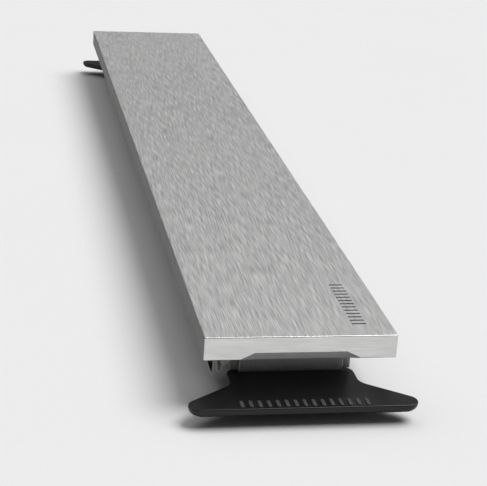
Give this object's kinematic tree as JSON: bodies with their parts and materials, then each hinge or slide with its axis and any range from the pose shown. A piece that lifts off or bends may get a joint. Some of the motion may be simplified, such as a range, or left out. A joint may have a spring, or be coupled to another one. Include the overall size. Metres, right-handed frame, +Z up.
{
  "type": "linear drain cover panel",
  "caption": "Solid brushed bar on an inverted channel rail, with sliding fishtail end feet that stand on screw-adjusted rubber glides.",
  "frame": {"origin": "on the floor, midway between the outer edges of the two feet as they stand in the picture", "axes": "+X across the panel, +Y along the panel towards the rear foot, +Z up"},
  "size_m": [0.059, 0.3628, 0.02],
  "materials": {
    "brushed_panel": "brushed stainless, lines along the length",
    "channel_steel": "cold-rolled stainless sheet, dull",
    "fixing_steel": "turned stainless, bright",
    "spring_strip": "bright rolled spring strip",
    "foot_nylon": "black glass-filled nylon, fine moulded grain",
    "slider_alloy": "die-cast aluminium, tumbled",
    "insert_brass": "turned brass",
    "glide_acetal": "dark moulded acetal",
    "grip_rubber": "matt rubber"
  },
  "bodies": {
    "cover": {"top_panel": "brushed_panel", "rail": "channel_steel", "rail_studs": "fixing_steel", "rail_washers": "fixing_steel", "rail_nuts": "fixing_steel", "front_clamp_stud": "fixing_steel", "front_clamp_washer": "fixing_steel", "front_clamp_nut": "fixing_steel", "front_side_spring": "spring_strip", "front_spring_rivets": "fixing_steel", "rear_clamp_stud": "fixing_steel", "rear_clamp_washer": "fixing_steel", "rear_clamp_nut": "fixing_steel", "rear_side_spring": "spring_strip", "rear_spring_rivets": "fixing_steel"},
    "front_foot_body": {"front_foot": "foot_nylon", "front_slider": "slider_alloy", "front_sole_rivets": "fixing_steel", "front_left_insert": "insert_brass", "front_right_insert": "insert_brass"},
    "front_left_glide_body": {"front_left_glide": "glide_acetal", "front_left_rubber": "grip_rubber"},
    "front_left_screw_body": {"front_left_screw": "fixing_steel"},
    "front_right_glide_body": {"front_right_glide": "glide_acetal", "front_right_rubber": "grip_rubber"},
    "front_right_screw_body": {"front_right_screw": "fixing_steel"},
    "rear_foot_body": {"rear_foot": "foot_nylon", "rear_slider": "slider_alloy", "rear_sole_rivets": "fixing_steel", "rear_left_insert": "insert_brass", "rear_right_insert": "insert_brass"},
    "rear_left_glide_body": {"rear_left_glide": "glide_acetal", "rear_left_rubber": "grip_rubber"},
    "rear_left_screw_body": {"rear_left_screw": "fixing_steel"},
    "rear_right_glide_body": {"rear_right_glide": "glide_acetal", "rear_right_rubber": "grip_rubber"},
    "rear_right_screw_body": {"rear_right_screw": "fixing_steel"}
  },
  "joints": [
    {"name": "front_foot_slide", "type": "slide", "parent": "cover", "child": "front_foot_body", "axis": [0, -1, 0], "range_m": [-0.008, 0.002]},
    {"name": "front_left_height", "type": "slide", "parent": "front_foot_body", "child": "front_left_glide_body", "axis": [0, 0, -1], "range_m": [0, 0.0035]},
    {"name": "front_left_turn", "type": "hinge", "parent": "front_left_glide_body", "child": "front_left_screw_body", "pos_m": [-0.00816, -0.154, 0.004], "axis": [0, 0, -1], "range_deg": [0, 1575]},
    {"name": "front_right_height", "type": "slide", "parent": "front_foot_body", "child": "front_right_glide_body", "axis": [0, 0, -1], "range_m": [0, 0.0035]},
    {"name": "front_right_turn", "type": "hinge", "parent": "front_right_glide_body", "child": "front_right_screw_body", "pos_m": [0.00816, -0.154, 0.004], "axis": [0, 0, -1], "range_deg": [0, 1575]},
    {"name": "rear_foot_slide", "type": "slide", "parent": "cover", "child": "rear_foot_body", "axis": [0, 1, 0], "range_m": [0, 0.01]},
    {"name": "rear_left_height", "type": "slide", "parent": "rear_foot_body", "child": "rear_left_glide_body", "axis": [0, 0, -1], "range_m": [0, 0.0035]},
    {"name": "rear_left_turn", "type": "hinge", "parent": "rear_left_glide_body", "child": "rear_left_screw_body", "pos_m": [-0.00816, 0.154, 0.004], "axis": [0, 0, -1], "range_deg": [0, 1575]},
    {"name": "rear_right_height", "type": "slide", "parent": "rear_foot_body", "child": "rear_right_glide_body", "axis": [0, 0, -1], "range_m": [0, 0.0035]},
    {"name": "rear_right_turn", "type": "hinge", "parent": "rear_right_glide_body", "child": "rear_right_screw_body", "pos_m": [0.00816, 0.154, 0.004], "axis": [0, 0, -1], "range_deg": [0, 1575]}
  ],
  "couplings": [
    {"joint": "front_left_turn", "follows": "front_left_height", "rad_per_m": 7854},
    {"joint": "front_right_turn", "follows": "front_right_height", "rad_per_m": 7854},
    {"joint": "rear_left_turn", "follows": "rear_left_height", "rad_per_m": 7854},
    {"joint": "rear_right_turn", "follows": "rear_right_height", "rad_per_m": 7854}
  ]
}
